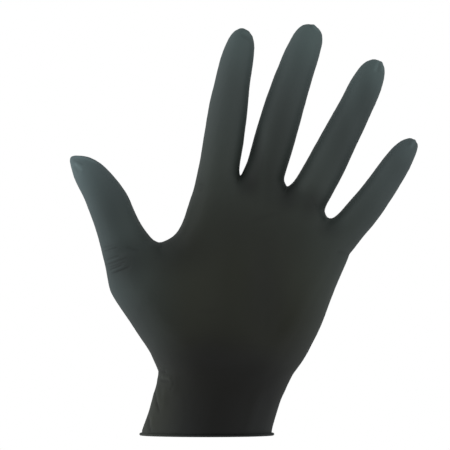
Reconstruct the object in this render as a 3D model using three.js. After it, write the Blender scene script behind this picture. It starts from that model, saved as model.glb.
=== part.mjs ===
import * as THREE from 'three';

// A thin nitrile exam glove, as it fits an open left hand held up with the palm forward.
// It is one dipped skin: a cuff that ends in a rolled bead, the palm and five closed digits,
// hollow all through and open at the cuff.
// The palm faces -Y, the thumb points to -X and the fingers point up, along +Z.
// The origin is the middle of the cuff's opening, level with the lowest point of the bead.

// Driving dimensions, in millimetres and degrees. A lean is measured from straight up,
// positive towards the little finger.

const film = 1; // wall of the skin
const beadDiameter = 2; // roll that ends the cuff

const cuffWidth = 67.2;
const cuffDepth = 50;
const forearmLean = 17.2;

const wristHeight = 32.5; // cuff's opening to the notch under the thumb
const wristWidth = 70;
const wristDepth = 40;

const palmLength = 97.8; // notch to the root of the index finger
const palmLean = 10.9;
const palmDepth = 29;
const palmForward = 14; // how far the palm stands forward of the cuff's middle

const thumbBallLength = 62.7; // notch to the outer side of the thumb's root
const thumbBallLean = -26;

const thumbLength = 59.3;
const thumbWidth = 23;
const indexLength = 80.3;
const indexWidth = 20.8;
const middleLength = 85;
const middleWidth = 21;
const ringLength = 82.5;
const ringWidth = 20;
const littleLength = 62.3;
const littleWidth = 17;

const foldHeight = 1.6; // highest of the folds in the loose film of the cuff

// Facets across the front of a digit, whose back has as many. The palm is as wide as five digits.
const facets = 8;
const palmFacets = facets * 5;

// Longest steps between rows, as shares of the region or digit they cross
const cuffStep = 0.2;
const handStep = 0.1;
const knuckleStep = 0.25;
const digitStep = 0.102;

// How far the facets of a row crowd towards its edges, from 0 to 1
const digitCrowding = 1;
const wristCrowding = 0.6;
const palmCrowding = 0.35;

const quarterTurn = 90;

// Sections along each digit, from its root to its tip. "along" is a share of its length.
// "left" and "right" are the distances of its two sides from its straight axis and "front" and
// "back" those of its pad and nail side, all as shares of its width. "slant", where a row has it,
// is how far its right end lies further along and its left end less far, in the same shares.
// The last row is the tip, where the sides meet.

const indexSections = [
  { along: 0.08, left: 0.515, right: 0.504, front: 0.49, back: 0.44 },
  { along: 0.25, left: 0.509, right: 0.491, front: 0.465, back: 0.43 },
  { along: 0.45, left: 0.506, right: 0.47, front: 0.425, back: 0.435 },
  { along: 0.65, left: 0.456, right: 0.419, front: 0.39, back: 0.365 },
  { along: 0.82, left: 0.388, right: 0.413, front: 0.37, back: 0.305 },
  { along: 0.92, left: 0.287, right: 0.357, front: 0.295, back: 0.225 },
  { along: 0.975, left: 0.166, right: 0.236, front: 0.175, back: 0.13 },
  { along: 1, left: -0.03, right: 0.03, front: 0, back: 0 },
];

const middleSections = [
  { along: 0.03, left: 0.565, right: 0.475, front: 0.49, back: 0.44 },
  { along: 0.08, left: 0.53, right: 0.458, front: 0.49, back: 0.44 },
  { along: 0.25, left: 0.539, right: 0.467, front: 0.465, back: 0.43 },
  { along: 0.45, left: 0.528, right: 0.452, front: 0.43, back: 0.435 },
  { along: 0.65, left: 0.476, right: 0.44, front: 0.395, back: 0.37 },
  { along: 0.82, left: 0.392, right: 0.446, front: 0.375, back: 0.31 },
  { along: 0.92, left: 0.301, right: 0.42, front: 0.3, back: 0.23 },
  { along: 0.975, left: 0.173, right: 0.305, front: 0.18, back: 0.135 },
  { along: 1, left: -0.07, right: 0.07, front: 0, back: 0 },
];

const ringSections = [
  { along: 0.03, slant: -0.11, left: 0.6, right: 0.492, front: 0.49, back: 0.44 },
  { along: 0.08, left: 0.56, right: 0.482, front: 0.49, back: 0.44 },
  { along: 0.25, left: 0.495, right: 0.513, front: 0.465, back: 0.43 },
  { along: 0.45, left: 0.442, right: 0.503, front: 0.43, back: 0.435 },
  { along: 0.65, left: 0.386, right: 0.494, front: 0.395, back: 0.37 },
  { along: 0.82, left: 0.353, right: 0.468, front: 0.375, back: 0.31 },
  { along: 0.92, left: 0.284, right: 0.393, front: 0.3, back: 0.23 },
  { along: 0.975, left: 0.155, right: 0.282, front: 0.18, back: 0.135 },
  { along: 1, left: -0.065, right: 0.065, front: 0, back: 0 },
];

const littleSections = [
  { along: 0.08, left: 0.472, right: 0.597, front: 0.52, back: 0.46 },
  { along: 0.25, left: 0.39, right: 0.638, front: 0.485, back: 0.45 },
  { along: 0.45, left: 0.331, right: 0.618, front: 0.45, back: 0.455 },
  { along: 0.65, left: 0.325, right: 0.569, front: 0.42, back: 0.385 },
  { along: 0.82, left: 0.298, right: 0.481, front: 0.395, back: 0.32 },
  { along: 0.92, left: 0.208, right: 0.392, front: 0.31, back: 0.235 },
  { along: 0.975, left: 0.084, right: 0.29, front: 0.18, back: 0.135 },
  { along: 1, left: -0.11, right: 0.11, front: 0, back: 0 },
];

const thumbSections = [
  { along: 0.04, slant: -0.11, left: 0.632, right: 0.553, front: 0.55, back: 0.46 },
  { along: 0.12, left: 0.603, right: 0.508, front: 0.54, back: 0.45 },
  { along: 0.25, left: 0.495, right: 0.518, front: 0.5, back: 0.43 },
  { along: 0.45, left: 0.36, right: 0.59, front: 0.455, back: 0.41 },
  { along: 0.65, left: 0.271, right: 0.558, front: 0.42, back: 0.365 },
  { along: 0.82, left: 0.223, right: 0.449, front: 0.345, back: 0.31 },
  { along: 0.92, left: 0.148, right: 0.287, front: 0.245, back: 0.225 },
  { along: 0.975, left: 0.101, right: 0.101, front: 0.13, back: 0.12 },
  { along: 1, left: 0, right: 0, front: 0, back: 0 },
];

// The digits. "root" is the distance between the two webs a digit springs from, as a share of its
// width, and "slope" the angle of the line between them from level. "sweep" is how far the tip
// lies behind the root, as a share of its length.

const thumb = {
  length: thumbLength,
  width: thumbWidth,
  lean: -32,
  root: 1.343,
  slope: 21,
  sweep: -0.08,
  sections: thumbSections,
};

const fingers = [
  {
    length: indexLength,
    width: indexWidth,
    lean: 9.1,
    root: 1.183,
    slope: 13.3,
    sweep: 0.08,
    sections: indexSections,
  },
  {
    length: middleLength,
    width: middleWidth,
    lean: 16.3,
    root: 1.17,
    slope: -12.7,
    sweep: 0.09,
    sections: middleSections,
  },
  {
    length: ringLength,
    width: ringWidth,
    lean: 25.6,
    root: 1.345,
    slope: -39.2,
    sweep: 0.09,
    sections: ringSections,
  },
  {
    length: littleLength,
    width: littleWidth,
    lean: 36.3,
    root: 1.2,
    slope: -49.1,
    sweep: 0.1,
    sections: littleSections,
  },
];

// Sections of the cuff, of the hand up to the thumb's web, and of the knuckles above it.
// "left" and "right" are shares along the chord of each edge, and "leftBulge" and "rightBulge"
// how far the edge stands out from that chord, as shares of the chord's length.
// "front" and "back" are shares of the depth there, which goes evenly from the named depth at one
// end of the region to that at the other. "forward" is a share of the palm's distance forward and
// "round" is the rounding of the edges, as a share of the wrist's width.

const cuffSections = [
  {
    left: 0, leftBulge: 0, right: 0, rightBulge: 0,
    front: 0.5, back: 0.5, forward: 0, round: 0.5,
  },
  {
    left: 0.42, leftBulge: -0.016, right: 0.42, rightBulge: -0.038,
    front: 0.502, back: 0.513, forward: 0.14, round: 0.49,
  },
  {
    left: 0.84, leftBulge: -0.008, right: 0.8, rightBulge: -0.024,
    front: 0.505, back: 0.493, forward: 0.38, round: 0.45,
  },
  {
    left: 1, leftBulge: 0, right: 1, rightBulge: 0,
    front: 0.515, back: 0.486, forward: 0.5, round: 0.42,
  },
];

const handSections = [
  {
    left: 0, leftBulge: 0, right: 0, rightBulge: 0,
    front: 0.515, back: 0.486, forward: 0.5, round: 0.42,
  },
  {
    left: 0.075, leftBulge: -0.01, right: 0.065, rightBulge: 0.012,
    front: 0.511, back: 0.466, forward: 0.61, round: 0.41,
  },
  {
    left: 0.16, leftBulge: -0.014, right: 0.15, rightBulge: 0.022,
    front: 0.508, back: 0.447, forward: 0.76, round: 0.38,
  },
  {
    left: 0.324, leftBulge: 0.003, right: 0.3, rightBulge: 0.028,
    front: 0.494, back: 0.43, forward: 0.94, round: 0.32,
  },
  {
    left: 0.5, leftBulge: 0.027, right: 0.444, rightBulge: 0.024,
    front: 0.479, back: 0.437, forward: 1, round: 0.28,
  },
  {
    left: 0.67, leftBulge: 0.051, right: 0.578, rightBulge: 0.012,
    front: 0.471, back: 0.453, forward: 1, round: 0.26,
  },
  {
    left: 0.785, leftBulge: 0.056, right: 0.675, rightBulge: 0.005,
    front: 0.462, back: 0.462, forward: 1, round: 0.24,
  },
  {
    left: 0.89, leftBulge: 0.029, right: 0.75, rightBulge: 0.001,
    front: 0.461, back: 0.47, forward: 1, round: 0.22,
  },
  {
    left: 1, leftBulge: 0, right: 0.82, rightBulge: -0.002,
    front: 0.46, back: 0.48, forward: 1, round: 0.21,
  },
];

const knuckleSections = [
  {
    left: 0, leftBulge: 0, right: 0.82, rightBulge: -0.002,
    front: 0.46, back: 0.48, forward: 1, round: 0.21,
  },
  {
    left: 0.19, leftBulge: -0.118, right: 0.87, rightBulge: -0.004,
    front: 0.44, back: 0.47, forward: 1, round: 0.2,
  },
  {
    left: 0.45, leftBulge: -0.12, right: 0.92, rightBulge: -0.007,
    front: 0.41, back: 0.44, forward: 1, round: 0.19,
  },
  {
    left: 0.72, leftBulge: -0.064, right: 0.96, rightBulge: -0.009,
    front: 0.385, back: 0.385, forward: 1, round: 0.18,
  },
  {
    left: 0.88, leftBulge: -0.028, right: 0.985, rightBulge: -0.004,
    front: 0.37, back: 0.35, forward: 1, round: 0.17,
  },
  {
    left: 1, leftBulge: 0, right: 1, rightBulge: 0,
    front: 0.36, back: 0.33, forward: 1, round: 0.17,
  },
];

// Mounds and hollows of the hand under the film. "across" and "halfWidth" are shares of the
// wrist's width, measured from its middle. "up" and "halfHeight" are shares of the palm's length,
// measured from the notch. "front" and "back" are the swell on each face, as shares of the
// palm's depth.

const mounds = [
  { across: -0.52, up: 0.3, halfWidth: 0.3, halfHeight: 0.27, front: 0.17, back: 0 }, // thumb's ball
  { across: 0.5, up: 0.25, halfWidth: 0.27, halfHeight: 0.3, front: 0.12, back: 0.03 }, // heel
  { across: 0.08, up: 0.53, halfWidth: 0.26, halfHeight: 0.25, front: -0.19, back: 0.05 }, // hollow
  { across: 0.02, up: 0.02, halfWidth: 0.3, halfHeight: 0.12, front: -0.08, back: 0 }, // wrist
  { across: 0.28, up: 0.88, halfWidth: 0.55, halfHeight: 0.07, front: 0.05, back: 0 }, // pads
  { across: -0.03, up: 0.84, halfWidth: 0.11, halfHeight: 0.08, front: 0, back: 0.09 }, // knuckles
  { across: 0.3, up: 0.86, halfWidth: 0.11, halfHeight: 0.08, front: 0, back: 0.1 },
  { across: 0.57, up: 0.76, halfWidth: 0.1, halfHeight: 0.08, front: 0, back: 0.09 },
  { across: 0.77, up: 0.61, halfWidth: 0.09, halfHeight: 0.08, front: 0, back: 0.08 },
];

// Folds in the loose film of the cuff. Each runs from one point to another, both given as shares
// of the wrist's width and height measured from the origin. "halfWidth" is a share of the wrist's
// width and "height" a share of the highest fold.

const folds = [
  { fromAcross: -0.25, fromUp: 0.88, toAcross: -0.42, toUp: 0.5, halfWidth: 0.035, height: 1 },
  { fromAcross: -0.4, fromUp: 0.4, toAcross: -0.42, toUp: 0, halfWidth: 0.03, height: 0.7 },
  { fromAcross: 0.38, fromUp: 0.62, toAcross: 0.3, toUp: 0.1, halfWidth: 0.04, height: 0.5 },
];

// Outline, as seen from the palm's side

function heading(lean) {
  const angle = THREE.MathUtils.degToRad(lean);
  return new THREE.Vector3(Math.sin(angle), 0, Math.cos(angle));
}

function onward(start, lean, length) {
  return start.clone().addScaledVector(heading(lean), length);
}

const wristShift = wristHeight * Math.tan(THREE.MathUtils.degToRad(forearmLean));
const rimLeft = new THREE.Vector3(-cuffWidth / 2, 0, beadDiameter);
const rimRight = new THREE.Vector3(cuffWidth / 2, 0, beadDiameter);
const wristMiddle = new THREE.Vector3(wristShift, 0, wristHeight);
const wristLeft = new THREE.Vector3(wristShift - wristWidth / 2, 0, wristHeight);
const wristRight = new THREE.Vector3(wristShift + wristWidth / 2, 0, wristHeight);
const thumbRoot = onward(wristLeft, thumbBallLean, thumbBallLength);
const thumbWeb = onward(thumbRoot, quarterTurn - thumb.slope, thumb.root * thumb.width);

const webs = [onward(wristLeft, palmLean, palmLength)];
for (const finger of fingers) {
  const lastWeb = webs[webs.length - 1];
  webs.push(onward(lastWeb, quarterTurn - finger.slope, finger.root * finger.width));
}
const littleRoot = webs[webs.length - 1];

// Rows of a table with more of them between, so that a curve through them stays smooth

function refined(sections, step) {
  const places = [];
  for (let i = 0; i < sections.length - 1; i += 1) {
    const count = Math.max(1, Math.round((sections[i + 1].left - sections[i].left) / step));
    for (let j = 0; j < count; j += 1) {
      places.push((i + j / count) / (sections.length - 1));
    }
  }
  places.push(1);
  return places;
}

function curve(points) {
  return new THREE.CatmullRomCurve3(points, false, 'centripetal');
}

function edge(start, end, outward, sections, share, bulge) {
  const chord = end.clone().sub(start);
  const aside = new THREE.Vector3(-chord.z, 0, chord.x).multiplyScalar(outward);
  const points = sections.map((section) => {
    const point = start.clone().addScaledVector(chord, section[share]);
    point.addScaledVector(aside, section[bulge]);
    point.y = -palmForward * section.forward;
    return point;
  });
  return curve(points);
}

// One region of the hand: its edges, and the depth and rounding of its rows

function region(sections, step, depths, leftEnds, rightEnds) {
  const left = edge(leftEnds[0], leftEnds[1], 1, sections, 'left', 'leftBulge');
  const right = edge(rightEnds[0], rightEnds[1], -1, sections, 'right', 'rightBulge');
  const form = curve(sections.map((section) => {
    const depth = THREE.MathUtils.lerp(depths[0], depths[1], section.left);
    return new THREE.Vector3(section.front * depth, section.back * depth, section.round * wristWidth);
  }));
  const share = curve(sections.map((section) => new THREE.Vector3(section.left, 0, 0)));
  return refined(sections, step).map((place) => {
    const size = form.getPoint(place);
    return {
      left: left.getPoint(place),
      right: right.getPoint(place),
      share: share.getPoint(place).x,
      front: size.x,
      back: size.y,
      round: size.z,
    };
  });
}

const cuffRows = region(
  cuffSections,
  cuffStep,
  [cuffDepth, wristDepth],
  [rimLeft, wristLeft],
  [rimRight, wristRight],
);
const handRows = region(
  handSections,
  handStep,
  [wristDepth, palmDepth],
  [wristLeft, thumbRoot],
  [wristRight, littleRoot],
);
const knuckleRows = region(
  knuckleSections,
  knuckleStep,
  [palmDepth, palmDepth],
  [thumbWeb, webs[0]],
  [wristRight, littleRoot],
);

// Distance from a point inside the outline to the nearest edge or web

const sides = [
  cuffRows.map((row) => row.left),
  cuffRows.map((row) => row.right),
  handRows.map((row) => row.left),
  handRows.map((row) => row.right),
  knuckleRows.map((row) => row.left),
  knuckleRows.map((row) => row.right),
];
const spots = [thumbWeb, ...webs];

function distanceToLine(point, start, end) {
  const flat = new THREE.Vector2(point.x, point.z);
  const from = new THREE.Vector2(start.x, start.z);
  const along = new THREE.Vector2(end.x, end.z).sub(from);
  const share = flat.clone().sub(from).dot(along) / along.lengthSq();
  return flat.distanceTo(from.addScaledVector(along, THREE.MathUtils.clamp(share, 0, 1)));
}

function clearance(point) {
  let nearest = Infinity;
  for (const side of sides) {
    for (let i = 0; i < side.length - 1; i += 1) {
      nearest = Math.min(nearest, distanceToLine(point, side[i], side[i + 1]));
    }
  }
  for (const spot of spots) {
    nearest = Math.min(nearest, Math.hypot(point.x - spot.x, point.z - spot.z));
  }
  return nearest;
}

// Swell of the mounds and folds at a point of the palm or cuff

function moundAt(point, face) {
  let swell = 0;
  for (const mound of mounds) {
    const across = (point.x - wristMiddle.x - mound.across * wristWidth) / (mound.halfWidth * wristWidth);
    const up = (point.z - wristHeight - mound.up * palmLength) / (mound.halfHeight * palmLength);
    swell += mound[face] * palmDepth * Math.exp(-(across ** 2) - up ** 2);
  }
  return swell;
}

function foldAt(point) {
  let swell = 0;
  for (const fold of folds) {
    const start = new THREE.Vector3(fold.fromAcross * wristWidth, 0, fold.fromUp * wristHeight);
    const end = new THREE.Vector3(fold.toAcross * wristWidth, 0, fold.toUp * wristHeight);
    const off = distanceToLine(point, start, end) / (fold.halfWidth * wristWidth);
    swell += fold.height * foldHeight * Math.exp(-(off ** 2));
  }
  return swell;
}

// The outer face of the film. Each row is a loop: its corners on the palm's side and those on the
// back of the hand, which meet at both edges.

const corners = [];
const triangles = [];

function addCorner(point) {
  corners.push(point);
  return corners.length - 1;
}

function addRow(middles, fronts, backs) {
  const row = { front: [], back: [] };
  middles.forEach((middle, i) => {
    const low = addCorner(middle.clone().setY(middle.y - fronts[i]));
    const flat = fronts[i] + backs[i] < film / 100;
    const high = flat ? low : addCorner(middle.clone().setY(middle.y + backs[i]));
    row.front.push(low);
    row.back.push(high);
  });
  return row;
}

function addTriangle(a, b, c) {
  if (a !== b && b !== c && c !== a) {
    triangles.push(a, b, c);
  }
}

function addQuad(a, b, c, d) {
  if (corners[a].distanceTo(corners[c]) <= corners[b].distanceTo(corners[d])) {
    addTriangle(a, b, c);
    addTriangle(a, c, d);
  } else {
    addTriangle(a, b, d);
    addTriangle(b, c, d);
  }
}

function joinRows(below, above) {
  for (let i = 0; i < below.front.length - 1; i += 1) {
    addQuad(below.front[i], below.front[i + 1], above.front[i + 1], above.front[i]);
    addQuad(above.back[i], above.back[i + 1], below.back[i + 1], below.back[i]);
  }
}

// Points across a row. With "crowding" at 1 they lie closer towards both ends, as points of equal
// angle do round an ellipse, and with 0 they are even.

function between(start, end, count, crowding) {
  return Array.from({ length: count + 1 }, (unused, i) => {
    const round = (1 - Math.cos((Math.PI * i) / count)) / 2;
    return start.clone().lerp(end, THREE.MathUtils.lerp(i / count, round, crowding));
  });
}

// Middle points of the rows of a region, bent gradually from its lowest row to its highest

function spreadRows(rows, lowest, highest) {
  const last = lowest.length - 1;
  return rows.map((row) => lowest.map((low, i) => {
    const across = i / last;
    const point = low.clone().lerp(highest[i], row.share);
    const leftShift = row.left.clone().sub(lowest[0].clone().lerp(highest[0], row.share));
    const rightShift = row.right.clone().sub(lowest[last].clone().lerp(highest[last], row.share));
    return point.addScaledVector(leftShift, 1 - across).addScaledVector(rightShift, across);
  }));
}

function addRegion(rows, middles) {
  return rows.map((row, i) => {
    const domes = middles[i].map((point, j) => {
      const atEdge = j === 0 || j === middles[i].length - 1;
      const inward = atEdge ? 0 : Math.min(clearance(point) / row.round, 1);
      return Math.sqrt(1 - (1 - inward) ** 2);
    });
    const fronts = middles[i].map((point, j) => (
      domes[j] * (row.front + moundAt(point, 'front') + foldAt(point))
    ));
    const backs = middles[i].map((point, j) => domes[j] * (row.back + moundAt(point, 'back')));
    return addRow(middles[i], fronts, backs);
  });
}

function joinAll(rows) {
  for (let i = 0; i < rows.length - 1; i += 1) {
    joinRows(rows[i], rows[i + 1]);
  }
}

const forward = new THREE.Vector3(0, -palmForward, 0);
const handTop = handRows[handRows.length - 1];
const rimLine = between(rimLeft, rimRight, palmFacets, digitCrowding);
const wristLine = between(handRows[0].left, handRows[0].right, palmFacets, wristCrowding);
const webPoint = thumbWeb.clone().add(forward);
const webLine = [
  ...between(handTop.left, webPoint, facets, digitCrowding).slice(0, -1),
  ...between(webPoint, handTop.right, palmFacets - facets, palmCrowding),
];
const rootLine = fingers.flatMap((finger, i) => {
  const leftWeb = webs[i].clone().add(forward);
  const rightWeb = webs[i + 1].clone().add(forward);
  const points = between(leftWeb, rightWeb, facets, digitCrowding);
  return i === 0 ? points : points.slice(1);
});

const lowerRows = [...cuffRows, ...handRows.slice(1)];
const lowerMiddles = [
  ...spreadRows(cuffRows, rimLine, wristLine),
  ...spreadRows(handRows, wristLine, webLine).slice(1),
];
const lower = addRegion(lowerRows, lowerMiddles);
joinAll(lower);

// The knuckles start from the part of the top row that lies beside the thumb's web

const upperMiddles = spreadRows(knuckleRows, webLine.slice(facets), rootLine);
const lowerTop = lower[lower.length - 1];
const besideWeb = { front: lowerTop.front.slice(facets), back: lowerTop.back.slice(facets) };
const upper = [besideWeb, ...addRegion(knuckleRows.slice(1), upperMiddles.slice(1))];
joinAll(upper);

// A digit grows from its root row to a single corner at the tip

function addDigit(digit, rootRow, leftWeb, rightWeb) {
  const { sections, length, width } = digit;
  const root = leftWeb.clone().lerp(rightWeb, 0.5);
  const aside = heading(digit.lean + quarterTurn);
  const axisPoint = (section) => {
    const point = onward(root, digit.lean, section.along * length);
    point.y = leftWeb.y + digit.sweep * length * section.along ** 2;
    return point;
  };
  const sidePoint = (section, reach, turn) => {
    const point = axisPoint(section).addScaledVector(aside, reach * width);
    return point.addScaledVector(heading(digit.lean), (section.slant ?? 0) * turn * width);
  };
  const rightSide = sections.map((section) => sidePoint(section, section.right, 1));
  const leftSide = sections.map((section) => sidePoint(section, -section.left, -1));
  const outline = curve([leftWeb, ...leftSide, ...rightSide.reverse().slice(1), rightWeb]);
  const middle = Math.floor(facets / 2);
  const rootFront = leftWeb.y - corners[rootRow.front[middle]].y;
  const rootBack = corners[rootRow.back[middle]].y - leftWeb.y;
  const depths = curve([
    new THREE.Vector3(rootFront, rootBack, 0),
    ...sections.map((section) => new THREE.Vector3(section.front * width, section.back * width, 0)),
  ]);
  const places = [];
  sections.forEach((section, i) => {
    const before = i === 0 ? 0 : sections[i - 1].along;
    const isTip = i === sections.length - 1;
    const steps = isTip ? 2 : Math.ceil((section.along - before) / digitStep);
    for (let step = 1; step <= steps; step += 1) {
      places.push((i + step / steps) / sections.length);
    }
  });
  const rows = places.map((place) => {
    if (place === 1) {
      const tip = addCorner(outline.getPoint(0.5));
      const all = Array(facets + 1).fill(tip);
      return { front: all, back: all };
    }
    const depth = depths.getPoint(place);
    const left = outline.getPoint(place / 2);
    const right = outline.getPoint(1 - place / 2);
    const middles = between(left, right, facets, digitCrowding);
    const round = middles.map((unused, i) => (
      i === 0 || i === facets ? 0 : Math.sin((Math.PI * i) / facets)
    ));
    return addRow(middles, round.map((share) => share * depth.x), round.map((share) => share * depth.y));
  });
  joinAll([rootRow, ...rows]);
}

function partOf(row, start) {
  return {
    front: row.front.slice(start, start + facets + 1),
    back: row.back.slice(start, start + facets + 1),
  };
}

addDigit(thumb, partOf(lowerTop, 0), handTop.left, webPoint);
fingers.forEach((finger, i) => {
  const rootRow = partOf(upper[upper.length - 1], i * facets);
  addDigit(finger, rootRow, webs[i].clone().add(forward), webs[i + 1].clone().add(forward));
});

// The inner face lies one wall inside the outer one

const outerGeometry = new THREE.BufferGeometry().setFromPoints(corners);
outerGeometry.setIndex(triangles);
outerGeometry.computeVertexNormals();
const normals = outerGeometry.getAttribute('normal');
const outerCount = corners.length;
const outerTriangles = triangles.slice();
for (let i = 0; i < outerCount; i += 1) {
  const outward = new THREE.Vector3().fromBufferAttribute(normals, i);
  addCorner(corners[i].clone().addScaledVector(outward, -film));
}
for (let i = 0; i < outerTriangles.length; i += 3) {
  const [a, b, c] = outerTriangles.slice(i, i + 3);
  addTriangle(a + outerCount, c + outerCount, b + outerCount);
}

// The bead joins the two faces round the cuff's opening, flush with the inner one

const rim = [...lower[0].front, ...lower[0].back.slice(1, -1).reverse()];
const beadAngles = [45, 0, -45, -90, -135, -180];
const beadLoops = beadAngles.map((degrees) => rim.map((corner) => {
  const angle = THREE.MathUtils.degToRad(degrees);
  const outward = new THREE.Vector3().fromBufferAttribute(normals, corner).setZ(0).normalize();
  const reach = beadDiameter / 2 - film + (Math.cos(angle) * beadDiameter) / 2;
  const point = corners[corner].clone().addScaledVector(outward, reach);
  return addCorner(point.setZ(((1 + Math.sin(angle)) * beadDiameter) / 2));
}));
const loops = [rim, ...beadLoops, rim.map((corner) => corner + outerCount)];
for (let i = 0; i < loops.length - 1; i += 1) {
  loops[i].forEach((corner, j) => {
    const next = (j + 1) % rim.length;
    addQuad(loops[i + 1][j], loops[i + 1][next], loops[i][next], loops[i][j]);
  });
}

const geometry = new THREE.BufferGeometry().setFromPoints(corners);
geometry.setIndex(triangles);
geometry.computeVertexNormals();

const nitrile = new THREE.MeshStandardMaterial({ color: 0x303230, roughness: 0.5, metalness: 0 });
const glove = new THREE.Mesh(geometry, nitrile);
glove.name = 'glove';

const group = new THREE.Group();
group.name = 'nitrile_exam_glove';
group.add(glove);

export default group;
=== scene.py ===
# %% [markdown]
# # A black nitrile exam glove
#
# An exam glove is one thin film of rubber. A porcelain former is dipped in liquid nitrile, the
# film is cured on it, and brushes roll the film's edge back on itself at the cuff. So there are no
# seams to model. What makes it look like a glove is its tight, slightly blurred form, the little
# puckers where the film is slack, and the way a matte black surface catches light only where it
# turns away from us.
#
# The steps are: take the form from the frame, make a fine even skin of it, press the folds into
# it, roll the cuff's edge, give it a nitrile finish, and light it softly.

from math import cos, exp, pi, radians, sin, sqrt

import bmesh
import bpy
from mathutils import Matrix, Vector, noise


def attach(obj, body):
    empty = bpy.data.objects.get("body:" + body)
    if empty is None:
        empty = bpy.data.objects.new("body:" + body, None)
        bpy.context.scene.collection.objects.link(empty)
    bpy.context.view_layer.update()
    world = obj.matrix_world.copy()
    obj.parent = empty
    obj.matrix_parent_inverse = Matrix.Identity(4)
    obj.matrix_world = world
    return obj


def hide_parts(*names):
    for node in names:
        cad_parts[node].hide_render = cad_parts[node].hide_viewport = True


MM = 0.001

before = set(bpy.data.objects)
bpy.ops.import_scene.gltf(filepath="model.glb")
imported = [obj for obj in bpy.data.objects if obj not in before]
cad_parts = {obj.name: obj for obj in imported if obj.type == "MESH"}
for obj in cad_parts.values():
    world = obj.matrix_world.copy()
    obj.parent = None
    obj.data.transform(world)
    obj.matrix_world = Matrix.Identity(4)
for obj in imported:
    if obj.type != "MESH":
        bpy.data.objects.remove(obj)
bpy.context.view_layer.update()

# %% [markdown]
# ## The bare skin
#
# The frame's glove is a wall with an outer face, an inner face and a bead that joins them. Only
# the outer face is the shape we want. So the bead is cut away, which leaves two loose shells, and
# the one that reaches higher is kept. Its flat triangles are joined into quads. Modelling the
# glove again from a cube would also work, but it would only guess at a form that is already
# measured.

# %% Outer face of the frame's glove
BEAD_TOP = 2.0 * MM
BEAD_CUT = 1.05 * BEAD_TOP
SAME_PLACE = 0.01 * MM


def island_of(start):
    """Every face that can be reached from one face across shared edges."""
    found = {start}
    waiting = [start]
    while waiting:
        face = waiting.pop()
        for edge in face.edges:
            for neighbour in edge.link_faces:
                if neighbour not in found:
                    found.add(neighbour)
                    waiting.append(neighbour)
    return found


def outer_face(node):
    """The outer face of the node's wall, without the bead, in quads."""
    bm = bmesh.new()
    bm.from_mesh(node.data)
    bmesh.ops.remove_doubles(bm, verts=bm.verts, dist=SAME_PLACE)
    bead = [face for face in bm.faces if face.calc_center_median().z < BEAD_CUT]
    bmesh.ops.delete(bm, geom=bead, context="FACES")
    highest = max(bm.verts, key=lambda vert: vert.co.z)
    keep = island_of(highest.link_faces[0])
    rest = [face for face in bm.faces if face not in keep]
    bmesh.ops.delete(bm, geom=rest, context="FACES")
    bmesh.ops.join_triangles(
        bm, faces=bm.faces, angle_face_threshold=pi, angle_shape_threshold=pi
    )
    return bm


skin = outer_face(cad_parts["glove"])
print("outer face:", len(skin.faces), "faces,", len(skin.verts), "corners")


# %% A piece made from a bmesh
def add_piece(name, bm):
    mesh = bpy.data.meshes.new(name)
    bm.to_mesh(mesh)
    piece = bpy.data.objects.new(name, mesh)
    bpy.context.scene.collection.objects.link(piece)
    return piece


def baked(piece):
    """A new bmesh of the piece with its modifiers carried out."""
    graph = bpy.context.evaluated_depsgraph_get()
    mesh = bpy.data.meshes.new_from_object(piece.evaluated_get(graph))
    bm = bmesh.new()
    bm.from_mesh(mesh)
    bpy.data.meshes.remove(mesh)
    return bm


# %% [markdown]
# ## An even, fine mesh
#
# The quads are rounded with a Subdivision Surface first. Rounding pulls a surface in, so every
# corner is moved out by as much as it went in.
#
# Folds can run in any direction, so the skin needs faces of one size everywhere. The Remesh
# modifier in its voxel mode does that, but it wants a closed shape. The cuff is therefore drawn
# out a little below its edge and capped, remeshed, and then cut off level again.
#
# A gap narrower than two voxels would close. The gaps between the roots of the fingers are
# therefore drawn open sideways for the remesh and closed again after it by the same amount.

# %% Narrow gaps
OPENED = 2.4 * MM

# How far the opening reaches from the bottom of a gap, sideways and up, in mm.
OPENED_SIDEWAYS = 10
OPENED_UP = 9

# "x" and "z" in mm are the bottom of the gap, "lean" is how far its middle goes sideways per mm up.
NARROW_GAPS = [
    {"name": "between index and middle", "x": 17.4, "z": 134.5, "lean": 0.24},
    {"name": "between middle and ring", "x": 41.6, "z": 129.0, "lean": 0.3},
]


def opened(x, z):
    """Where a point lies sideways while the narrow gaps are drawn open."""
    shift = 0.0
    for gap in NARROW_GAPS:
        above = z / MM - gap["z"]
        side = x / MM - gap["x"] - gap["lean"] * above
        near_gap = exp(-((side / OPENED_SIDEWAYS) ** 2) - (above / OPENED_UP) ** 2)
        shift += OPENED * near_gap * side / sqrt(side * side + 1)
    return x + shift


def closed_again(x, z):
    """Where that point lies when they are closed, found by halving."""
    low, high = x - OPENED, x + OPENED
    for _ in range(20):
        middle = (low + high) / 2
        if opened(middle, z) < x:
            low = middle
        else:
            high = middle
    return (low + high) / 2


print("gaps drawn open:", len(NARROW_GAPS))

# %% Remesh the skin
VOXEL = 1.45 * MM
DRAWN_DOWN = 5 * MM


def keep_corners(piece):
    """Move each corner out so that the rounded surface passes through its old place."""
    wanted = [vert.co.copy() for vert in piece.data.vertices]
    for _ in range(3):
        graph = bpy.context.evaluated_depsgraph_get()
        rounded = piece.evaluated_get(graph).data.vertices
        shifts = [place - rounded[i].co for i, place in enumerate(wanted)]
        for vert, shift in zip(piece.data.vertices, shifts):
            vert.co += shift
        piece.data.update()


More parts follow.
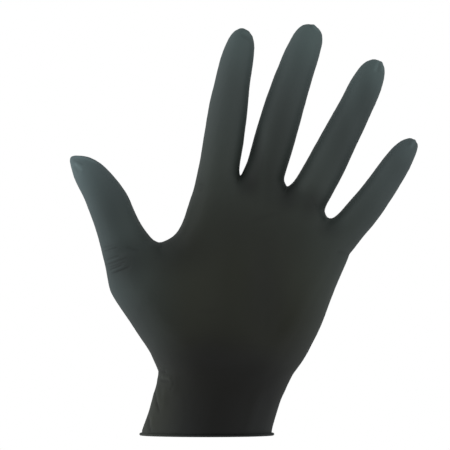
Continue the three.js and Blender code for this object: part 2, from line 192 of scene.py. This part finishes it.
def even_skin(bm):
    """The skin with faces of one size, closed below the cuff by a flat cap."""
    rim = [edge for edge in bm.edges if edge.is_boundary]
    drawn = bmesh.ops.extrude_edge_only(bm, edges=rim)["geom"]
    lower = [item for item in drawn if isinstance(item, bmesh.types.BMVert)]
    bmesh.ops.translate(bm, vec=(0, 0, -DRAWN_DOWN), verts=lower)
    piece = add_piece("skin_block", bm)
    bm.free()
    rounded = piece.modifiers.new("rounded", "SUBSURF")
    rounded.levels = rounded.render_levels = 2
    keep_corners(piece)
    open_skin = baked(piece)
    cap = [edge for edge in open_skin.edges if edge.is_boundary]
    bmesh.ops.holes_fill(open_skin, edges=cap)
    bmesh.ops.recalc_face_normals(open_skin, faces=open_skin.faces)
    open_skin.to_mesh(piece.data)
    open_skin.free()
    piece.modifiers.clear()
    for vert in piece.data.vertices:
        vert.co.x = opened(vert.co.x, vert.co.z)
    even = piece.modifiers.new("even", "REMESH")
    even.mode = "VOXEL"
    even.voxel_size = VOXEL
    fine = baked(piece)
    bpy.data.objects.remove(piece)
    for vert in fine.verts:
        vert.co.x = closed_again(vert.co.x, vert.co.z)
    return fine


skin = even_skin(skin)
print("even skin:", len(skin.faces), "faces")


# %% Cut the cuff off level
def level_cut(bm, height):
    """Take away everything below a height, and merge the corners that the cut leaves twice."""
    everything = bm.verts[:] + bm.edges[:] + bm.faces[:]
    bmesh.ops.bisect_plane(
        bm, geom=everything, plane_co=(0, 0, height), plane_no=(0, 0, 1), clear_inner=True
    )
    bmesh.ops.remove_doubles(bm, verts=bm.verts, dist=SAME_PLACE)


level_cut(skin, BEAD_TOP)

# One round of smoothing takes off the faint steps that voxels leave.
bmesh.ops.smooth_vert(
    skin, verts=[vert for vert in skin.verts if not vert.is_boundary], factor=0.5,
    use_axis_x=True, use_axis_y=True, use_axis_z=True,
)
print("rim:", sum(edge.is_boundary for edge in skin.edges), "edges")

# %% [markdown]
# ## Finer where it creases
#
# The film creases where the thumb bends, at the notch of the wrist and at the fingertips. Smaller
# faces everywhere would show the creases too, but they would make the mesh four times as heavy.
# So only those places get them.

# %% Refine the creased places
# Each place is a ball with its middle and radius in mm. Where two balls overlap, the edges are
# halved twice.
CREASED_PLACES = [
    {"name": "thumb base", "x": -47, "y": -20, "z": 92, "radius": 16},
    {"name": "thumb base, finest", "x": -49, "y": -20, "z": 92, "radius": 11},
    {"name": "wrist notch", "x": -22, "y": -16, "z": 32, "radius": 12},
    {"name": "cuff fold", "x": -26, "y": -14, "z": 18, "radius": 12},
    {"name": "thumb tip", "x": -67, "y": -22, "z": 142, "radius": 11},
    {"name": "index tip", "x": 19, "y": -10, "z": 207, "radius": 9},
    {"name": "middle tip", "x": 54, "y": -8, "z": 209, "radius": 9},
    {"name": "ring tip", "x": 88, "y": -9, "z": 190, "radius": 10},
    {"name": "little tip", "x": 105, "y": -10, "z": 151, "radius": 9},
]


def refine(bm, place):
    """Halve every edge of the faces in a ball."""
    middle = Vector((place["x"], place["y"], place["z"])) * MM
    edges = dict.fromkeys(
        edge
        for face in bm.faces
        if (face.calc_center_median() - middle).length < place["radius"] * MM
        for edge in face.edges
    )
    bmesh.ops.subdivide_edges(bm, edges=list(edges), cuts=1, use_grid_fill=True, smooth=0.6)


for place in CREASED_PLACES:
    refine(skin, place)
print("refined skin:", len(skin.faces), "faces")

# %% [markdown]
# ## Folds pressed into the film
#
# Each fold is a short line on the palm's side with a height and a width. Corners near the line
# move along their own normal: outwards for a ridge, inwards for a crease. The move fades out
# towards the ends of the line and round the edges, so the back, where the film is drawn tight,
# stays smooth. A simulated cloth would fold by itself, but not where this glove has its folds, so
# a table of lines is the better way here.

# %% Folds of the thumb's base and the wrist
# "path" is a line of x and z in mm. "height" and "width" are in mm, and the height is negative for
# a crease. At one width from the line the fold is down to about a third of its height.
FOLDS = [
    {"path": [(-53.5, 97.4), (-47, 98.6)], "height": -0.2, "width": 0.42},
    {"path": [(-53.5, 95.2), (-44.5, 97.9)], "height": -0.26, "width": 0.45},
    {"path": [(-52, 90.9), (-44, 93.6)], "height": -0.26, "width": 0.42},
    {"path": [(-52, 88.4), (-40, 92.4)], "height": -0.36, "width": 0.45},
    {"path": [(-51, 86.9), (-40.5, 90.5)], "height": -0.3, "width": 0.42},
    {"path": [(-50.5, 85.6), (-42.5, 88.8)], "height": -0.36, "width": 0.42},
    {"path": [(-49.2, 83.8), (-38.2, 88.1)], "height": -0.45, "width": 0.48},
    {"path": [(-51.8, 89.7), (-44, 92.4)], "height": 0.24, "width": 0.45},
    {"path": [(-49.8, 84.8), (-41, 88.3)], "height": 0.24, "width": 0.42},
    {"path": [(-42, 97.8), (-34, 95.5)], "height": -0.2, "width": 0.7},
    {"path": [(-25.5, 35.4), (-21.5, 35.2)], "height": 0.35, "width": 0.6},
    {"path": [(-25.5, 33.8), (-20.5, 33.2)], "height": -0.5, "width": 0.6},
    {"path": [(-23.5, 31.2), (-17.8, 29.9)], "height": 0.6, "width": 0.8},
    {"path": [(-24, 28.9), (-18.5, 28.4)], "height": -0.35, "width": 0.7},
    {"path": [(-17, 29.4), (-17, 26.7), (-19, 23.4)], "height": -0.18, "width": 0.6},
    {"path": [(-25.6, 29.5), (-26.6, 22.8), (-25.6, 16.6), (-23.8, 11)],
     "height": -0.5, "width": 0.6},
    {"path": [(-25.0, 27), (-25.3, 22.8), (-24.2, 16.6)], "height": 0.5, "width": 1.0},
    {"path": [(-30, 10.5), (-29.9, 5), (-28.6, 1)], "height": -0.6, "width": 0.7},
    {"path": [(-28.3, 10.5), (-28.2, 5)], "height": 0.35, "width": 0.9},
    {"path": [(-21.5, 26), (-22.6, 14)], "height": 0.22, "width": 1.2},
]

print("folds at the thumb's base and the wrist:", len(FOLDS))

# %% Puckers of the fingertips and creases of the fingers' roots
PUCKERS = [
    {"path": [(54.6, 213), (55.9, 210.3), (58.5, 208.2)], "height": 0.4, "width": 0.6},
    {"path": [(53.4, 212.6), (54.2, 210.2)], "height": -0.3, "width": 0.5},
    {"path": [(56.6, 211.4), (59.5, 209.4)], "height": -0.3, "width": 0.5},
    {"path": [(90.0, 194.2), (90.6, 187.8)], "height": 0.4, "width": 0.6},
    {"path": [(89.0, 194.4), (86.2, 187.4)], "height": 0.32, "width": 0.7},
    {"path": [(89.4, 192.4), (88.3, 186.8)], "height": -0.14, "width": 0.6},
    {"path": [(107.8, 153.6), (104.8, 148.0)], "height": 0.4, "width": 0.6},
    {"path": [(106.4, 153.8), (103.0, 149.4)], "height": -0.15, "width": 0.6},
    {"path": [(18.5, 208.6), (24.0, 205.4)], "height": 0.2, "width": 0.7},
    {"path": [(17.2, 207.0), (22.6, 203.6)], "height": -0.15, "width": 0.7},
    {"path": [(-68.5, 144.2), (-61.0, 142.6), (-55.6, 140.2)], "height": 0.35, "width": 0.6},
    {"path": [(-69.0, 142.6), (-62.6, 139.6)], "height": -0.22, "width": 0.6},
    {"path": [(-67.6, 141.0), (-63.2, 136.8)], "height": 0.3, "width": 0.7},
    {"path": [(-68.2, 139.2), (-65.6, 135.4)], "height": -0.15, "width": 0.6},
    {"path": [(-6.2, 131.0), (-0.2, 128.4)], "height": -0.22, "width": 0.8},
    {"path": [(-6.4, 128.2), (-1.5, 126.2)], "height": -0.2, "width": 0.7},
    {"path": [(74.6, 93.6), (66.5, 95.2)], "height": -0.25, "width": 0.9},
    {"path": [(22.8, 111.0), (38.4, 115.6)], "height": -0.14, "width": 1.2},
    {"path": [(-5.6, 64.6), (6.0, 64.8)], "height": -0.1, "width": 1.0},
]

print("puckers and creases:", len(PUCKERS))

# %% Press the folds in
# The share of its length over which a fold fades out at each end.
FADING_END = 0.2

# How many widths from its line a fold still moves a corner.
REACH = 3

# How fast the folds fade out where the film turns towards the back.
FADING_ROUND_EDGE = 2.5


def closest(point, path):
    """Distance from a point to a path, and how far along the path that is, from 0 to 1."""
    lengths = [(Vector(b) - Vector(a)).length for a, b in zip(path, path[1:])]
    best, share, passed = 1e9, 0.0, 0.0
    for (a, b), length in zip(zip(path, path[1:]), lengths):
        start, step = Vector(a), Vector(b) - Vector(a)
        along = max(0.0, min(1.0, (point - start).dot(step) / step.length_squared))
        away = (point - start - step * along).length
        if away < best:
            best, share = away, (passed + along * length) / sum(lengths)
        passed += length
    return best, share


def fold_at(fold, point):
    """Height of a fold at a point, in mm."""
    away, share = closest(point, fold["path"])
    taper = min(1.0, share / FADING_END, (1 - share) / FADING_END)
    return fold["height"] * taper * exp(-((away / fold["width"]) ** 2))


def near(fold, point):
    """Whether a point is close enough to a fold to be moved by it."""
    reach = REACH * fold["width"]
    across = [x for x, _ in fold["path"]]
    up = [z for _, z in fold["path"]]
    return (
        min(across) - reach < point.x < max(across) + reach
        and min(up) - reach < point.y < max(up) + reach
    )


def press(bm, folds):
    """Move the corners along their normals and note on each one how far, in mm."""
    pressed = bm.verts.layers.float.new("pressed")
    bm.normal_update()
    moves = {}
    for vert in bm.verts:
        facing = max(0.0, min(1.0, 1 - FADING_ROUND_EDGE * vert.normal.y))
        point = Vector((vert.co.x, vert.co.z)) / MM
        height = sum(fold_at(fold, point) for fold in folds if near(fold, point))
        if facing and height:
            vert[pressed] = height * facing
            moves[vert] = vert.normal * height * facing * MM
    for vert, move in moves.items():
        vert.co += move
    return len(moves)


print("corners moved:", press(skin, FOLDS + PUCKERS))

# %% [markdown]
# ## The slight unevenness of a dipped film
#
# No dipped film is perfectly smooth. A low soft noise, a few hundredths of a millimetre high,
# keeps the long highlights from looking drawn with a ruler. A bump in the material could do that
# too, but it would leave the outline as smooth as before.

# %% Soften the surface with a low noise
RIPPLES = [{"height": 0.12 * MM, "size": 9 * MM}, {"height": 0.05 * MM, "size": 3.5 * MM}]


def ripple(bm, height, size):
    bm.normal_update()
    for vert in bm.verts:
        if not vert.is_boundary:
            vert.co += vert.normal * height * noise.noise(vert.co / size)


for layer in RIPPLES:
    ripple(skin, layer["height"], layer["size"])
skin.normal_update()
print("skin with its unevenness:", len(skin.verts), "corners")

# %% [markdown]
# ## The rolled edge
#
# The factory brushes the film's edge outwards and it rolls up on itself. We do the same: the
# rim's edges are extruded again and again along a spiral, and the thin wall that is added later
# makes a real roll of it. A torus laid on the rim would look alike, but it would not join.

# %% Roll the rim
ROLL_CENTRE_OUT = 0.62 * MM
ROLL_CENTRE_UP = 0.86 * MM
ROLL_RADIUS = 0.62 * MM
ROLL_TIGHTENS = 0.3 * MM
ROLL_TURNS = 1.3
ROLL_STEPS = 13


def rim_directions(bm):
    """The level direction straight out from the film at each corner of the rim."""
    bm.normal_update()
    directions = {}
    for vert in bm.verts:
        if vert.is_boundary:
            directions[vert] = Vector((vert.normal.x, vert.normal.y, 0)).normalized()
    return directions


def roll_rim(bm):
    """Draw the rim out again and again, each time a step further round the roll."""
    directions = rim_directions(bm)
    feet = {vert: vert.co.copy() for vert in directions}
    for step in range(ROLL_STEPS + 1):
        edges = [edge for edge in bm.edges if edge.is_boundary]
        new = bmesh.ops.extrude_edge_only(bm, edges=edges)["geom"]
        turned = step / ROLL_STEPS * ROLL_TURNS
        angle = pi + turned * 2 * pi
        reach = ROLL_RADIUS - ROLL_TIGHTENS * turned
        last_ring, directions = directions, {}
        for vert in [item for item in new if isinstance(item, bmesh.types.BMVert)]:
            source = next(
                edge.other_vert(vert) for edge in vert.link_edges
                if edge.other_vert(vert) in last_ring
            )
            out, foot = last_ring[source], feet[source]
            directions[vert], feet[vert] = out, foot
            vert.co = foot + out * (ROLL_CENTRE_OUT + cos(angle) * reach)
            vert.co.z = ROLL_CENTRE_UP + sin(angle) * reach


roll_rim(skin)
print("skin with its roll:", len(skin.faces), "faces")

# %% [markdown]
# ## A thin wall
#
# Real film is about 0.1 mm thick. A wall of 0.25 mm still looks like film where the cuff opens,
# and leaves no edge too thin to bake. The Solidify modifier makes the inner face, and one number
# sets the wall.

# %% Give the film its thickness
FILM = 0.25 * MM

bmesh.ops.recalc_face_normals(skin, faces=skin.faces)
film = add_piece("glove_film", skin)
skin.free()
film.data.shade_smooth()
wall = film.modifiers.new("wall", "SOLIDIFY")
wall.thickness = FILM
wall.offset = -1
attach(film, "root")
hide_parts("glove")
print("film:", len(film.data.polygons), "faces before its wall")

# %% [markdown]
# ## Nitrile finish
#
# Black nitrile is a dielectric that is dark all through, with a broad matte highlight. Where the
# film is stretched, over the fingers and most of all at their tips, it gets thinner and a little
# greyer.
# The slack cuff and the middle of the palm stay nearly black with an olive cast.
#
# So the colour is a sum of a few wide ramps over the height and the width of the glove, times a
# table of soft spots, and much of it is painted light and shade. The cool blue-grey towards the
# fingertips is partly the thinner film and partly painted light, and the lighter thumb's side, cuff
# side and little finger's side are painted light. The spots are painted shade below the webs
# between the fingers, in the hollow of the palm and on the wrist, and painted light on the
# fingertips and the ball of the little finger. Painting a picture on the surface would do the same,
# but a table of places is easier to read and to change. A ridge of a fold gets a painted highlight
# and a crease
# painted shade: the corners already carry how far they were pressed, and the colour reads that.


# %% Small helpers for shader maths
class Socket:
    """An output socket that adds Math nodes when it is used in an expression."""

    def __init__(self, tree, output):
        self.tree = tree
        self.output = output

    def node(self, kind, settings=None, **inputs):
        """Add a node. An input is given by its name, or by its number as in _0."""
        made = self.tree.nodes.new(kind)
        for name, value in (settings or {}).items():
            setattr(made, name, value)
        for name, value in inputs.items():
            key = int(name[1:]) if name.startswith("_") else name.replace("_", " ")
            if isinstance(value, Socket):
                self.tree.links.new(value.output, made.inputs[key])
            else:
                made.inputs[key].default_value = value
        return made

    def output_of(self, made, key):
        """One output of a node, for use in an expression."""
        return Socket(self.tree, made.outputs[key])

    def maths(self, operation, *values):
        numbered = {f"_{i}": value for i, value in enumerate(values)}
        made = self.node("ShaderNodeMath", {"operation": operation}, **numbered)
        return self.output_of(made, "Value")

    def vector_maths(self, operation, *values, output="Vector", **inputs):
        numbered = {f"_{i}": value for i, value in enumerate(values)}
        settings = {"operation": operation}
        made = self.node("ShaderNodeVectorMath", settings, **numbered, **inputs)
        return self.output_of(made, output)

    def at_least(self, least):
        return self.maths("MAXIMUM", self, least)

    def __add__(self, other):
        return self.maths("ADD", self, other)

    __radd__ = __add__

    def __sub__(self, other):
        return self.maths("SUBTRACT", self, other)

    def __rsub__(self, other):
        return self.maths("SUBTRACT", other, self)

    def __mul__(self, other):
        return self.maths("MULTIPLY", self, other)

    __rmul__ = __mul__

    def __truediv__(self, other):
        return self.maths("DIVIDE", self, other)

    def __rtruediv__(self, other):
        return self.maths("DIVIDE", other, self)


def new_tree(owner):
    """The emptied node tree of a material or a world, ready to have nodes added."""
    owner.use_nodes = True
    owner.node_tree.nodes.clear()
    return Socket(owner.node_tree, None)


def summed(tree, parts):
    """Add up colours, each one scaled by its own share."""
    scaled = [tree.vector_maths("SCALE", colour, Scale=share) for colour, share in parts]
    total = scaled[0]
    for part in scaled[1:]:
        total = tree.vector_maths("ADD", total, part)
    return total


# %% Where the film is stretched and where it is slack, and where light is painted
# Colours that are added up, each one over its own part of the glove. The first is the film's own
# colour, and the others hold painted light.
SLACK = (0.010, 0.011, 0.007)
# Partly the thinner stretched film and partly painted light, lighter towards the fingertips.
STRETCHED_AND_PAINTED_LIGHT = (0.030, 0.050, 0.080)
HIGHER_UP_THIN_AND_PAINTED_LIGHT = (0.065, 0.075, 0.050)
TIPS_THIN_AND_PAINTED_LIGHT = (0.005, 0.020, 0.020)
# Painted light on the thumb's side, the cuff's left side and the little finger's side.
PAINTED_LIGHT_THUMB_SIDE = (0.060, 0.090, 0.100)
PAINTED_LIGHT_CUFF_SIDE = (0.025, 0.025, 0.010)
PAINTED_LIGHT_LITTLE_FINGER_SIDE = (0.015, 0.020, 0.020)

# Soft round spots of painted shade and painted light: middle and half sizes in mm, and how much
# lighter (painted light) or darker (painted shade) the colour is made there.
PAINTED_SHADE_AND_LIGHT_SPOTS = [
    {"name": "below the web of index and middle", "x": 21, "z": 131,
     "wide": 8, "high": 12, "lighter": -0.6},
    {"name": "left side of the middle finger", "x": 25, "z": 143,
     "wide": 6, "high": 28, "lighter": -0.5},
    {"name": "middle finger", "x": 36, "z": 152, "wide": 17, "high": 52, "lighter": -0.3},
    {"name": "below the web of middle and ring", "x": 42, "z": 125,
     "wide": 9, "high": 13, "lighter": -0.5},
    {"name": "beside the web of ring and little", "x": 54, "z": 120,
     "wide": 12, "high": 12, "lighter": -0.4},
    {"name": "below the web of ring and little", "x": 63, "z": 107,
     "wide": 9, "high": 8, "lighter": -0.25},
    {"name": "below the knuckles", "x": 20, "z": 108, "wide": 50, "high": 34, "lighter": -0.35},
    {"name": "web of the thumb", "x": -18, "z": 96, "wide": 26, "high": 20, "lighter": -0.35},
    {"name": "middle of the thumb", "x": -50, "z": 114, "wide": 14, "high": 26, "lighter": -0.25},
    {"name": "base of the thumb", "x": -42, "z": 90, "wide": 16, "high": 18, "lighter": -0.45},
    {"name": "wrist below the heel", "x": 4, "z": 39, "wide": 38, "high": 20, "lighter": -0.7},
    {"name": "wrist on the little finger's side", "x": 26, "z": 30,
     "wide": 28, "high": 22, "lighter": -0.65},
    {"name": "front of the cuff", "x": 10, "z": 8, "wide": 36, "high": 54, "lighter": -0.8},
    {"name": "middle of the palm", "x": -6, "z": 70, "wide": 20, "high": 28, "lighter": 0.2},
    {"name": "hollow of the palm", "x": 30, "z": 76, "wide": 16, "high": 38, "lighter": -0.45},
    {"name": "ball of the little finger", "x": 60, "z": 66,
     "wide": 26, "high": 46, "lighter": 0.45},
    {"name": "little finger", "x": 92, "z": 132, "wide": 14, "high": 34, "lighter": 0.15},
    {"name": "tip of the little finger", "x": 104, "z": 149,
     "wide": 10, "high": 14, "lighter": 0.3},
    {"name": "tip of the ring finger", "x": 89, "z": 189, "wide": 10, "high": 14, "lighter": 0.25},
    {"name": "ring finger", "x": 70, "z": 153, "wide": 14, "high": 36, "lighter": -0.2},
    {"name": "tip of the index finger", "x": 18, "z": 204, "wide": 12, "high": 26, "lighter": 0.2},
    {"name": "tip of the middle finger", "x": 55, "z": 207, "wide": 12, "high": 26, "lighter": 0.3},
    {"name": "tip of the thumb", "x": -68, "z": 142, "wide": 16, "high": 22, "lighter": 0.4},
    {"name": "right side of the ring finger", "x": 82, "z": 168,
     "wide": 9, "high": 24, "lighter": -0.25},
    {"name": "root of the middle finger", "x": 32, "z": 134,
     "wide": 9, "high": 18, "lighter": -0.25},
    {"name": "side of the heel", "x": -36, "z": 62, "wide": 16, "high": 24, "lighter": -0.2},
]

# Painted highlight and shade of the folds: how much lighter a ridge of 1 mm is painted, and how
# much darker a crease of 1 mm. No crease keeps less than the darkest one's share of the colour.
PAINTED_FOLD_LIGHT_AND_SHADE = 0.9
DARKEST_PAINTED_CREASE_SHADE = 0.25

print("spots:", len(PAINTED_SHADE_AND_LIGHT_SPOTS))

# %% Nitrile material
# How many times per metre each pattern repeats.
CLOUDS = 30.0
MOTTLE = 420.0
GRAIN = 2600.0

GRAIN_HEIGHT = 0.04 * MM


def nitrile(name):
    material = bpy.data.materials.new(name)
    tree = new_tree(material)
    where = tree.output_of(tree.node("ShaderNodeTexCoord"), "Object")

    def pattern(scale, detail):
        made = tree.node("ShaderNodeTexNoise", Vector=where, Scale=scale, Detail=detail)
        return tree.output_of(made, "Fac")

    def ramp(value, start, end, shape="SMOOTHSTEP"):
        """A share that goes from 0 to 1 while the value goes from start to end."""
        made = tree.node(
            "ShaderNodeMapRange", {"interpolation_type": shape},
            Value=value, From_Min=start, From_Max=end,
        )
        return tree.output_of(made, "Result")

    def distance(x, z, wide=1.0, high=1.0):
        """Distance in mm from a point of the palm's plane, or in half sizes of an oval round it."""
        from_point = tree.vector_maths("SUBTRACT", where, (x * MM, 0, z * MM))
        in_plane = (1 / (wide * MM), 0, 1 / (high * MM))
        scaled = tree.vector_maths("MULTIPLY", from_point, in_plane)
        return tree.vector_maths("LENGTH", scaled, output="Value")

    split = tree.node("ShaderNodeSeparateXYZ", Vector=where)
    across, up = [tree.output_of(split, key) / MM for key in ("X", "Z")]
    cloudy, grain, mottle = pattern(CLOUDS, 2.0), pattern(GRAIN, 2.0), pattern(MOTTLE, 3.0)

    # The film's own colour plus ramps of painted light. The ramps towards the tips are partly the
    # thinner film too.
    colour = summed(tree, [
        (SLACK, 0.95 + cloudy * 0.1),
        (STRETCHED_AND_PAINTED_LIGHT, ramp(distance(12, 55), 20, 165)),
        (TIPS_THIN_AND_PAINTED_LIGHT, ramp(distance(15, 80), 95, 140)),
        (HIGHER_UP_THIN_AND_PAINTED_LIGHT, ramp(up, 20, 210, "LINEAR")),
        (PAINTED_LIGHT_THUMB_SIDE, ramp(across, -5, -75) * ramp(up, 5, 60)),
        (PAINTED_LIGHT_CUFF_SIDE, ramp(across, -5, -35) * ramp(up, 50, 10)),
        (PAINTED_LIGHT_LITTLE_FINGER_SIDE, ramp(across, 40, 80)),
    ])

    # The folds' heights painted as light and shade: a painted highlight on each ridge and painted
    # shade in each crease, times the film's own random mottle.
    attribute = tree.node("ShaderNodeAttribute", {"attribute_name": "pressed"})
    pressed = tree.output_of(attribute, "Fac")
    mottle_and_painted_shading = (0.97 + mottle * 0.06) * (1 + PAINTED_FOLD_LIGHT_AND_SHADE * pressed).at_least(DARKEST_PAINTED_CREASE_SHADE)
    # Each spot darkens the colour as painted shade or lightens it as painted light.
    for painted_spot in PAINTED_SHADE_AND_LIGHT_SPOTS:
        away = distance(painted_spot["x"], painted_spot["z"], painted_spot["wide"], painted_spot["high"])
        mottle_and_painted_shading = mottle_and_painted_shading * (1 + painted_spot["lighter"] * ramp(away, 1, 0))

    bump = tree.node(
        "ShaderNodeBump", Strength=0.25, Distance=GRAIN_HEIGHT, Height=grain * 0.7 + mottle * 0.8
    )
    surface = tree.node(
        "ShaderNodeBsdfPrincipled",
        Base_Color=tree.vector_maths("SCALE", colour, Scale=mottle_and_painted_shading),
        Roughness=0.5 + cloudy * 0.08 + mottle * 0.04,
        IOR=1.5,
        Normal=tree.output_of(bump, "Normal"),
    )
    output = tree.node("ShaderNodeOutputMaterial")
    tree.tree.links.new(surface.outputs["BSDF"], output.inputs["Surface"])
    return material


film.data.materials.append(nitrile("black_nitrile"))
print("finish:", film.data.materials[0].name)

# %% [markdown]
# ## Studio
#
# The ground is pure white and there is no hard light. Both sides of the glove and all its rounded
# edges are light, and the palm that faces us is dark, so most of the light comes from the left,
# the right and below, and only a little from behind the camera. The room is six soft walls, each
# with a colour of its own, that fade into one another. One even sky would be simpler, but it would
# flatten the fingers. A faint soft lamp beside the thumb picks out the folds there.
#
# The floor is only for looking at. It would throw a second light from below, so the glove doesn't
# see it.

# %% Floor
FLOOR_BELOW = 250 * MM
FLOOR_REACH = 1500 * MM
FLOOR_BACK = 300 * MM


def finish_of(name, **inputs):
    material = bpy.data.materials.new(name)
    tree = new_tree(material)
    surface = tree.node("ShaderNodeBsdfPrincipled", **inputs)
    output = tree.node("ShaderNodeOutputMaterial")
    tree.tree.links.new(surface.outputs["BSDF"], output.inputs["Surface"])
    return material


floor_bm = bmesh.new()
bmesh.ops.create_grid(floor_bm, x_segments=1, y_segments=1, size=FLOOR_REACH)
bmesh.ops.translate(floor_bm, vec=(0, FLOOR_BACK, -FLOOR_BELOW), verts=floor_bm.verts)
floor = add_piece("floor", floor_bm)
floor_bm.free()
pale = finish_of("pale_floor", Base_Color=(0.82, 0.82, 0.82, 1), Roughness=0.8)
floor.data.materials.append(pale)
floor.visible_diffuse = False
floor.visible_glossy = False
print("floor at", round(-FLOOR_BELOW / MM), "mm")

# %% Light of the room
# "towards" is the direction of a wall as seen from the glove, "light" is its colour and strength.
WALLS = [
    {"towards": (0, 1, 0), "light": (0.06, 0.07, 0.06)},
    {"towards": (0, -1, 0), "light": (0.17, 0.16, 0.14)},
    {"towards": (0, 0, 1), "light": (0.21, 0.22, 0.23)},
    {"towards": (0, 0, -1), "light": (0.38, 0.39, 0.40)},
    {"towards": (-1, 0, 0), "light": (0.65, 0.67, 0.67)},
    {"towards": (1, 0, 0), "light": (0.47, 0.48, 0.48)},
]
ROOM_STRENGTH = 0.94

world = bpy.data.worlds.new("studio")
bpy.context.scene.world = world
sky = new_tree(world)
direction = sky.output_of(sky.node("ShaderNodeTexCoord"), "Generated")
glows = []
for wall_light in WALLS:
    facing = sky.vector_maths("DOT_PRODUCT", direction, wall_light["towards"], output="Value")
    glows.append((wall_light["light"], facing.at_least(0.0)))
room = sky.node("ShaderNodeBackground", Color=summed(sky, glows), Strength=ROOM_STRENGTH)
ground = sky.node("ShaderNodeBackground", Color=(1, 1, 1, 1), Strength=1.0)
seen = sky.output_of(sky.node("ShaderNodeLightPath"), "Is Camera Ray")
either = sky.node("ShaderNodeMixShader", Fac=seen)
sky.tree.links.new(room.outputs[0], either.inputs[1])
sky.tree.links.new(ground.outputs[0], either.inputs[2])
world_out = sky.node("ShaderNodeOutputWorld")
sky.tree.links.new(either.outputs[0], world_out.inputs["Surface"])
print("room of", len(WALLS), "soft walls")

# %% Lamps
# "size" is the width and height of the soft box in m, "light" its colour times its power in W.
LAMPS = [
    {"name": "beside_thumb", "place": (-0.3, -0.08, 0.2), "aim": (-0.05, 0, 0.1),
     "size": (0.15, 0.3), "light": (0.03, 0.03, 0.03)},
]

for lamp in LAMPS:
    data = bpy.data.lights.new(lamp["name"], "AREA")
    data.shape = "RECTANGLE"
    data.size, data.size_y = lamp["size"]
    data.energy = max(lamp["light"])
    data.color = [value / data.energy for value in lamp["light"]]
    source = bpy.data.objects.new(lamp["name"], data)
    source.location = lamp["place"]
    aim = Vector(lamp["aim"]) - Vector(lamp["place"])
    source.rotation_euler = aim.to_track_quat("-Z", "Y").to_euler()
    source.visible_camera = False
    bpy.context.scene.collection.objects.link(source)
print("lamps:", len(LAMPS))

# %% Camera
# A long lens from far away shows the glove almost without perspective.
DISTANCE = 3.0
PIXEL = 0.515 * MM
FRAME_PIXELS = 450
PALM_EDGE_Y = -12 * MM
PHOTO_MIDDLE_X = 9.45 * MM
PHOTO_MIDDLE_Z = 108.9 * MM

camera_data = bpy.data.cameras.new("camera")
camera_data.lens = camera_data.sensor_width * DISTANCE / (PIXEL * FRAME_PIXELS)
camera_data.clip_end = 20
camera = bpy.data.objects.new("camera", camera_data)
camera.location = (PHOTO_MIDDLE_X, PALM_EDGE_Y - DISTANCE, PHOTO_MIDDLE_Z)
camera.rotation_euler = (radians(90), 0, 0)
bpy.context.scene.collection.objects.link(camera)
bpy.context.scene.camera = camera
bpy.context.scene.view_settings.view_transform = "Standard"
print("camera", round(camera_data.lens), "mm lens at", DISTANCE, "m")
